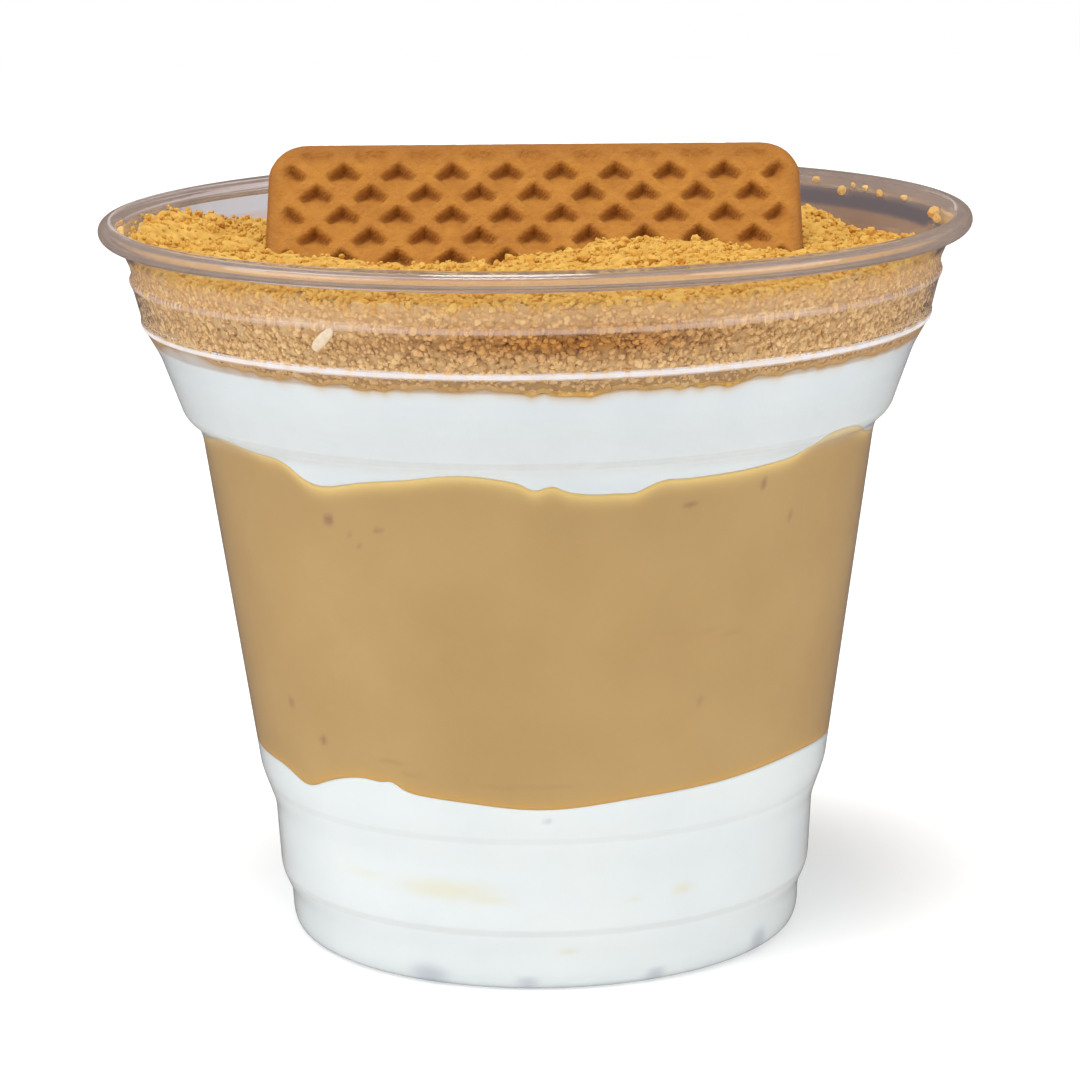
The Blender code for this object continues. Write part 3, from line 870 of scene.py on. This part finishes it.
def make_sliver(look):
    """A pale sliver of nut that lies against the wall among the crumbs."""
    shape, faces = round_ball(SLIVER_DETAIL, 0.5)
    shape = np.sign(shape) * np.abs(2 * shape) ** SLIVER_BLUNT / 2 * SLIVER_SIZE
    angle, height = SLIVER_AT
    turn = rotation(angle, "Z") @ rotation(SLIVER_LEAN, "X") @ rotation(-SLIVER_TILT, "Y")
    shape = shape[:, (0, 2, 1)] @ np.array(turn)[:3, :3].T
    depth = SLIVER_SIZE[2] / 2 - SLIVER_IN_WALL
    place = on_circle(inner_radius(np.array(height)) - depth, height, np.array(angle))
    piece = make_mesh("nut_sliver", shape + place, faces.tolist(), look)
    stand_for(piece, "biscuit_crumbs")


# The waffle biscuit


def biscuit_frame():
    """Turns a slab's own axes into its place: across, up along its face, and out of its face."""
    turn = rotation(90 - BISCUIT_LEAN, "X") @ rotation(BISCUIT_TURN, "Z")
    back, height = BISCUIT_TOP
    top = Vector((0, back * MM, height * MM))
    inner = Vector((0, -BISCUIT_LENGTH / 2 * MM, -BISCUIT_THICK / 2 * MM))
    return Matrix.Translation(top + turn @ inner) @ turn


def lattice_depth(across, along):
    """Depth of the diamond pits, and the painted shade of each point, strongest on a pit's upper
    walls.
    """
    down = BISCUIT_LENGTH / 2 - along - FIRST_ROW
    first = across / PIT_PERIOD + down / PIT_PERIOD
    second = across / PIT_PERIOD - down / PIT_PERIOD
    first, second = first - np.round(first), second - np.round(second)
    share = np.maximum(np.abs(first), np.abs(second)) * PIT_PERIOD / PIT_HALF
    lower = np.clip(0.5 + (first - second) * PIT_PERIOD / PIT_HALF / 4, 0, 1)
    depth = np.minimum((1 - share) / PIT_WALL, (1 - lower) / PIT_RAMP)
    end, blend = PIT_ROOF
    roof = eased((end - lower) / blend) * eased((1 - share) / PIT_LIP)
    bare, beside, shade = PIT_FLOOR
    on_wall = shade + (1 - shade) * eased((share - bare) / beside)
    return PIT_DEPTH * eased(depth), roof * on_wall


def past_corners(across, along):
    """How far a point lies past the middles of the rounded corners, each way."""
    wide = np.abs(across) - (BISCUIT_WIDTH / 2 - BISCUIT_CORNER)
    tall = np.abs(along) - (BISCUIT_LENGTH / 2 - BISCUIT_CORNER)
    return wide, tall


def edge_distance(across, along):
    """Distance in from the biscuit's outline, which has rounded corners."""
    wide, tall = past_corners(across, along)
    outside = np.hypot(np.maximum(wide, 0), np.maximum(tall, 0))
    return BISCUIT_CORNER - outside - np.minimum(np.maximum(wide, tall), 0)


def slab_grid():
    """A flat grid with the biscuit's outline, drawn in towards its rounded corners."""
    columns = int(BISCUIT_WIDTH / BISCUIT_STEP)
    rows = int(BISCUIT_LENGTH / BISCUIT_STEP)
    across, along = np.meshgrid(
        np.linspace(-BISCUIT_WIDTH / 2, BISCUIT_WIDTH / 2, columns),
        np.linspace(-BISCUIT_LENGTH / 2, BISCUIT_LENGTH / 2, rows),
    )
    wide, tall = past_corners(across, along)
    in_corner = (wide > 0) & (tall > 0)
    squeeze = np.maximum(wide, tall) / np.maximum(np.hypot(wide, tall), MM)
    drawn_in = np.where(in_corner, 1 - squeeze, 0)
    return across - np.sign(across) * wide * drawn_in, along - np.sign(along) * tall * drawn_in


def slab_faces(rows, columns):
    """Faces of two grids, a slab's front and its back, joined round their rims."""
    number = rows * columns
    index = np.arange(number).reshape(rows, columns)
    quads = np.stack([index[:-1, :-1], index[:-1, 1:], index[1:, 1:], index[1:, :-1]], axis=-1)
    quads = quads.reshape(-1, 4)
    rim = np.concatenate([index[0, :-1], index[:-1, -1], index[-1, :0:-1], index[:0:-1, 0]])
    beside = np.roll(rim, -1)
    walls = np.stack([rim, rim + number, beside + number, beside], axis=1)
    return [*quads.tolist(), *(quads + number).tolist(), *walls.tolist()]


def make_biscuit(look):
    """The slab, with pits and a grainy skin on both faces."""
    across, along = slab_grid()
    inward = edge_distance(across, along)
    fall = BISCUIT_EDGE - np.sqrt(
        np.maximum(BISCUIT_EDGE**2 - np.maximum(BISCUIT_EDGE - inward, 0) ** 2, 0)
    )
    margin = eased((inward - PLAIN_MARGIN) / MARGIN_BLEND)
    pits, shaded = lattice_depth(across, along)
    pits, shaded = pits * margin, shaded * margin
    grain, tone = cells(across + CRUMB_SHIFT, along + CRUMB_SHIFT, BISCUIT_GRAIN, SEED + 4)
    rough = BISCUIT_ROUGH * (1 - grain) * np.clip(inward / BISCUIT_EDGE, 0, 1)
    height = BISCUIT_THICK / 2 - fall - pits - rough
    front = np.stack([across, along, height], axis=-1).reshape(-1, 3)
    back = front * (1, 1, -1)
    place = np.array(biscuit_frame())
    points = np.concatenate([front, back]) @ place[:3, :3].T + place[:3, 3] / MM
    biscuit = make_mesh("waffle_biscuit_baked", points, slab_faces(*across.shape), look)
    # Painted shade on the pits' upper walls and floors, stored as depth
    depth = np.tile(shaded.ravel(), 2)
    from_edge = np.minimum(inward / TOASTED_MARGIN, (BISCUIT_LENGTH / 2 - along) / TOASTED_TOP)
    edge = np.tile(np.clip(1 - from_edge, 0, 1).ravel(), 2)
    paint(biscuit, depth=depth, toasted=edge, tone=np.tile(tone.ravel(), 2))
    stand_for(biscuit, "waffle_biscuit")


# Materials


def new_look(name):
    """A new material with its nodes and main shader."""
    look = bpy.data.materials.new(name)
    look.use_nodes = True
    return look, look.node_tree, look.node_tree.nodes["Principled BSDF"]


def noise(tree, size, detail=3.0):
    """Smooth noise from 0 to 1, whose features are about this many millimetres across."""
    place = tree.nodes.new("ShaderNodeTexCoord")
    made = tree.nodes.new("ShaderNodeTexNoise")
    made.inputs["Scale"].default_value = 1 / (size * MM)
    made.inputs["Detail"].default_value = detail
    tree.links.new(place.outputs["Object"], made.inputs["Vector"])
    return made.outputs["Fac"]


def painted(tree, name):
    """The numbers that paint() stored under a name."""
    made = tree.nodes.new("ShaderNodeAttribute")
    made.attribute_name = name
    return made.outputs["Fac"]


def scaled(tree, value, low, high, new_low=0.0, new_high=1.0):
    """A value moved from one range to another, and kept in it."""
    made = tree.nodes.new("ShaderNodeMapRange")
    ends = {"From Min": low, "From Max": high, "To Min": new_low, "To Max": new_high}
    for name, number in ends.items():
        made.inputs[name].default_value = number
    tree.links.new(value, made.inputs["Value"])
    return made.outputs["Result"]


def mixed(tree, share, first, second):
    """A mix of two colours, each a plain colour or a socket."""
    made = tree.nodes.new("ShaderNodeMix")
    made.data_type = "RGBA"
    tree.links.new(share, made.inputs["Factor"])
    for name, colour in (("A", first), ("B", second)):
        socket = next(s for s in made.inputs if s.name == name and s.type == "RGBA")
        if isinstance(colour, tuple):
            socket.default_value = colour
        else:
            tree.links.new(colour, socket)
    return next(s for s in made.outputs if s.type == "RGBA")


def bump(tree, shader, height, distance):
    """Gives a shader a bump of this depth in millimetres."""
    made = tree.nodes.new("ShaderNodeBump")
    made.inputs["Distance"].default_value = distance * MM
    tree.links.new(height, made.inputs["Height"])
    tree.links.new(made.outputs["Normal"], shader.inputs["Normal"])


def patched(tree, first, second, size, detail=3.0, span=SOFT_SPAN):
    """Two colours in soft patches, which take in a span of the noise."""
    return mixed(tree, scaled(tree, noise(tree, size, detail), *span), first, second)


def marked(tree, colour, marks_on_it):
    """A colour with painted marks over it."""
    for name, share, mark in marks_on_it:
        colour = mixed(tree, scaled(tree, painted(tree, name), 0, 1, 0, share), colour, mark)
    return colour


def cover(tree, shader, colour, surface, span=WIDE_SPAN):
    """Gives a shader its colour, its uneven roughness and its bumps."""
    (patch, least, greatest), (grain, detail, depth) = surface
    tree.links.new(colour, shader.inputs["Base Color"])
    rough = scaled(tree, noise(tree, patch), *span, least, greatest)
    tree.links.new(rough, shader.inputs["Roughness"])
    bump(tree, shader, noise(tree, grain, detail), depth)


def yogurt_look():
    look, tree, shader = new_look("frozen_yogurt")
    colour = patched(tree, YOGURT_SHADE, YOGURT, YOGURT_PATCH)
    cover(tree, shader, marked(tree, colour, YOGURT_MARKS), YOGURT_SKIN)
    return look


def caramel_look():
    look, tree, shader = new_look("caramel_cream")
    colour = patched(tree, CARAMEL_SHADE, CARAMEL, CARAMEL_PATCH)
    cover(tree, shader, marked(tree, colour, CARAMEL_MARKS), CARAMEL_SKIN)
    return look


def crumb_look():
    look, tree, shader = new_look("biscuit_crumbs_loose")
    shader.inputs["Specular IOR Level"].default_value = MATT
    tone, by_wall, rich = (painted(tree, name) for name in ("tone", "pressed", "rich"))
    loose = mixed(tree, tone, CRUMB_DEEP, CRUMB_GOLD)
    tan = mixed(tree, tone, CRUMB_TAN_DEEP, CRUMB_TAN)
    brown = mixed(tree, tone, CRUMB_RICH_DEEP, CRUMB_RICH)
    colour = mixed(tree, by_wall, loose, mixed(tree, rich, tan, brown))
    colour = mixed(tree, scaled(tree, noise(tree, *SPECKLE), *SPECKLE_SPAN), colour, CRUMB_BROWN)
    # Painted shade in the gaps between granules, strongest in the browner part by the wall
    deepest_shade = scaled(tree, product(tree, by_wall, rich), 0, 1, GAP_SHADE, RICH_GAP_SHADE)
    depth = scaled(tree, painted(tree, "depth"), GAP_SHADE_FROM, GAP_SHADE_TO)
    colour = mixed(tree, product(tree, depth, deepest_shade), colour, CRUMB_GAP_SHADE)
    cover(tree, shader, colour, CRUMB_SKIN)
    return look


def biscuit_look():
    look, tree, shader = new_look("baked_biscuit")
    shader.inputs["Specular IOR Level"].default_value = MATT
    colour = patched(tree, BISCUIT_SHADE, BISCUIT, *BISCUIT_PATCH)
    cover(tree, shader, marked(tree, colour, BISCUIT_MARKS), BISCUIT_SKIN)
    return look


def sliver_look():
    look, tree, shader = new_look("pale_nut")
    cover(tree, shader, patched(tree, NUT_SHADE, NUT, NUT_PATCH), NUT_SKIN)
    return look


def height_band(tree, low, high, soft):
    """1 between two heights in millimetres, falling to 0 over a soft distance outside them."""
    place = tree.nodes.new("ShaderNodeTexCoord")
    split = tree.nodes.new("ShaderNodeSeparateXYZ")
    tree.links.new(place.outputs["Object"], split.inputs["Vector"])
    rise = scaled(tree, split.outputs["Z"], (low - soft) * MM, low * MM)
    fall = scaled(tree, split.outputs["Z"], high * MM, (high + soft) * MM, 1, 0)
    return product(tree, rise, fall)


def product(tree, first, second):
    """One value times another, each a socket or a plain number."""
    made = tree.nodes.new("ShaderNodeMath")
    made.operation = "MULTIPLY"
    for socket, value in zip(made.inputs, (first, second)):
        if isinstance(value, float):
            socket.default_value = value
        else:
            tree.links.new(value, socket)
    return made.outputs["Value"]


def over(tree, share, under, film_colour):
    """A thin diffuse film of a colour over a shader, which serves for haze, painted highlight and
    painted shade.
    """
    film = tree.nodes.new("ShaderNodeBsdfDiffuse")
    film.inputs["Color"].default_value = film_colour
    made = tree.nodes.new("ShaderNodeMixShader")
    tree.links.new(share, made.inputs["Fac"])
    tree.links.new(under, made.inputs[1])
    tree.links.new(film.outputs["BSDF"], made.inputs[2])
    return made.outputs["Shader"]


def plastic_look():
    """Clear plastic that lets the lamps through to the food, with bands of haze, painted highlight
    and painted shade.
    """
    look, tree, shader = new_look("clear_plastic_wall")
    shader.inputs["Transmission Weight"].default_value = 1.0
    shader.inputs["IOR"].default_value = PLASTIC_BEND
    tint = patched(tree, PLASTIC_SHADE, PLASTIC, PLASTIC_PATCH)
    cover(tree, shader, tint, PLASTIC_SKIN, PLASTIC_SPAN)

    patchy = scaled(tree, noise(tree, *FILM_PATCH), *WIDE_SPAN, *FILM_SHARES)
    wall = shader.outputs["BSDF"]
    for low, high, soft, share, colour in FILMS:
        band_film = product(tree, height_band(tree, low, high, soft), share)
        wall = over(tree, product(tree, band_film, patchy), wall, colour)

    open_way = tree.nodes.new("ShaderNodeBsdfTransparent")
    open_way.inputs["Color"].default_value = SHADE_OF_WALL
    path = tree.nodes.new("ShaderNodeLightPath")
    either = tree.nodes.new("ShaderNodeMath")
    either.operation = "MAXIMUM"
    tree.links.new(path.outputs["Is Shadow Ray"], either.inputs[0])
    tree.links.new(path.outputs["Is Diffuse Ray"], either.inputs[1])
    both = tree.nodes.new("ShaderNodeMixShader")
    tree.links.new(either.outputs["Value"], both.inputs["Fac"])
    tree.links.new(wall, both.inputs[1])
    tree.links.new(open_way.outputs["BSDF"], both.inputs[2])
    end = tree.nodes["Material Output"]
    tree.links.new(both.outputs["Shader"], end.inputs["Surface"])
    return look


# Setting


def make_floor():
    """A pale floor that doesn't show in the plastic."""
    look, tree, shader = new_look("pale_floor")
    colour = patched(tree, FLOOR_SHADE, FLOOR, FLOOR_PATCH, span=WIDE_SPAN)
    tree.links.new(colour, shader.inputs["Base Color"])
    shader.inputs["Roughness"].default_value = FLOOR_ROUGH
    shader.inputs["Emission Color"].default_value = ROOM_BEHIND
    shader.inputs["Emission Strength"].default_value = FLOOR_GLOW
    bm = bmesh.new()
    bmesh.ops.create_grid(bm, x_segments=1, y_segments=1, size=FLOOR_REACH)
    mesh = bpy.data.meshes.new("floor")
    bm.to_mesh(mesh)
    bm.free()
    mesh.materials.append(look)
    floor = placed("floor", mesh)
    floor.visible_glossy = floor.visible_transmission = False


def make_world():
    """An even pale room, greyer where it shows in the plastic, but for a pale part behind."""
    world = bpy.data.worlds.new("room")
    bpy.context.scene.world = world
    world.use_nodes = True
    tree = world.node_tree
    back = tree.nodes["Background"]
    path = tree.nodes.new("ShaderNodeLightPath")
    heading = tree.nodes.new("ShaderNodeTexCoord")
    split = tree.nodes.new("ShaderNodeSeparateXYZ")
    tree.links.new(heading.outputs["Generated"], split.inputs["Vector"])
    from_right = scaled(tree, split.outputs["X"], *PALE_RIGHT)
    from_left = scaled(tree, split.outputs["X"], *PALE_LEFT)
    ahead = scaled(tree, split.outputs["Y"], *PALE_AHEAD)
    pale = product(tree, product(tree, from_right, from_left), ahead)
    seen = mixed(tree, pale, ROOM_SEEN, ROOM_PALE)
    colour = mixed(tree, path.outputs["Is Diffuse Ray"], seen, ROOM_LIGHT)
    colour = mixed(tree, path.outputs["Is Camera Ray"], colour, ROOM_BEHIND)
    tree.links.new(colour, back.inputs["Color"])


def make_sun(name, direction, strength, width, colour):
    """A far lamp in a direction."""
    lamp = bpy.data.lights.new(name, "SUN")
    lamp.energy = strength
    lamp.angle = math.radians(width)
    lamp.color = colour
    holder = placed(name, lamp)
    holder.rotation_euler = Vector(direction).to_track_quat("Z", "Y").to_euler()


def make_camera():
    lens = bpy.data.cameras.new("camera")
    lens.lens = CAMERA_LENS
    camera = placed("camera", lens)
    turn = rotation(90 - CAMERA_PITCH, "X") @ rotation(CAMERA_ROLL, "Z")
    camera.matrix_world = Matrix.Translation(Vector(CAMERA_PLACE) * MM) @ turn
    bpy.context.scene.camera = camera


def main():
    scene = bpy.context.scene
    scene.view_settings.view_transform = "Standard"
    scene.cycles.transparent_max_bounces = CLEAR_WALLS
    make_camera()
    make_floor()
    make_world()
    for sun in SUNS:
        make_sun(*sun)
    make_cup(plastic_look())
    yogurt, crumbs = yogurt_look(), crumb_look()
    make_bottom_yogurt(yogurt)
    make_caramel(caramel_look())
    make_top_yogurt(yogurt)
    make_crumbs(crumbs)
    make_grains(crumbs)
    make_wall_grains(crumbs)
    make_strays(crumbs)
    make_sliver(sliver_look())
    make_biscuit(biscuit_look())


main()
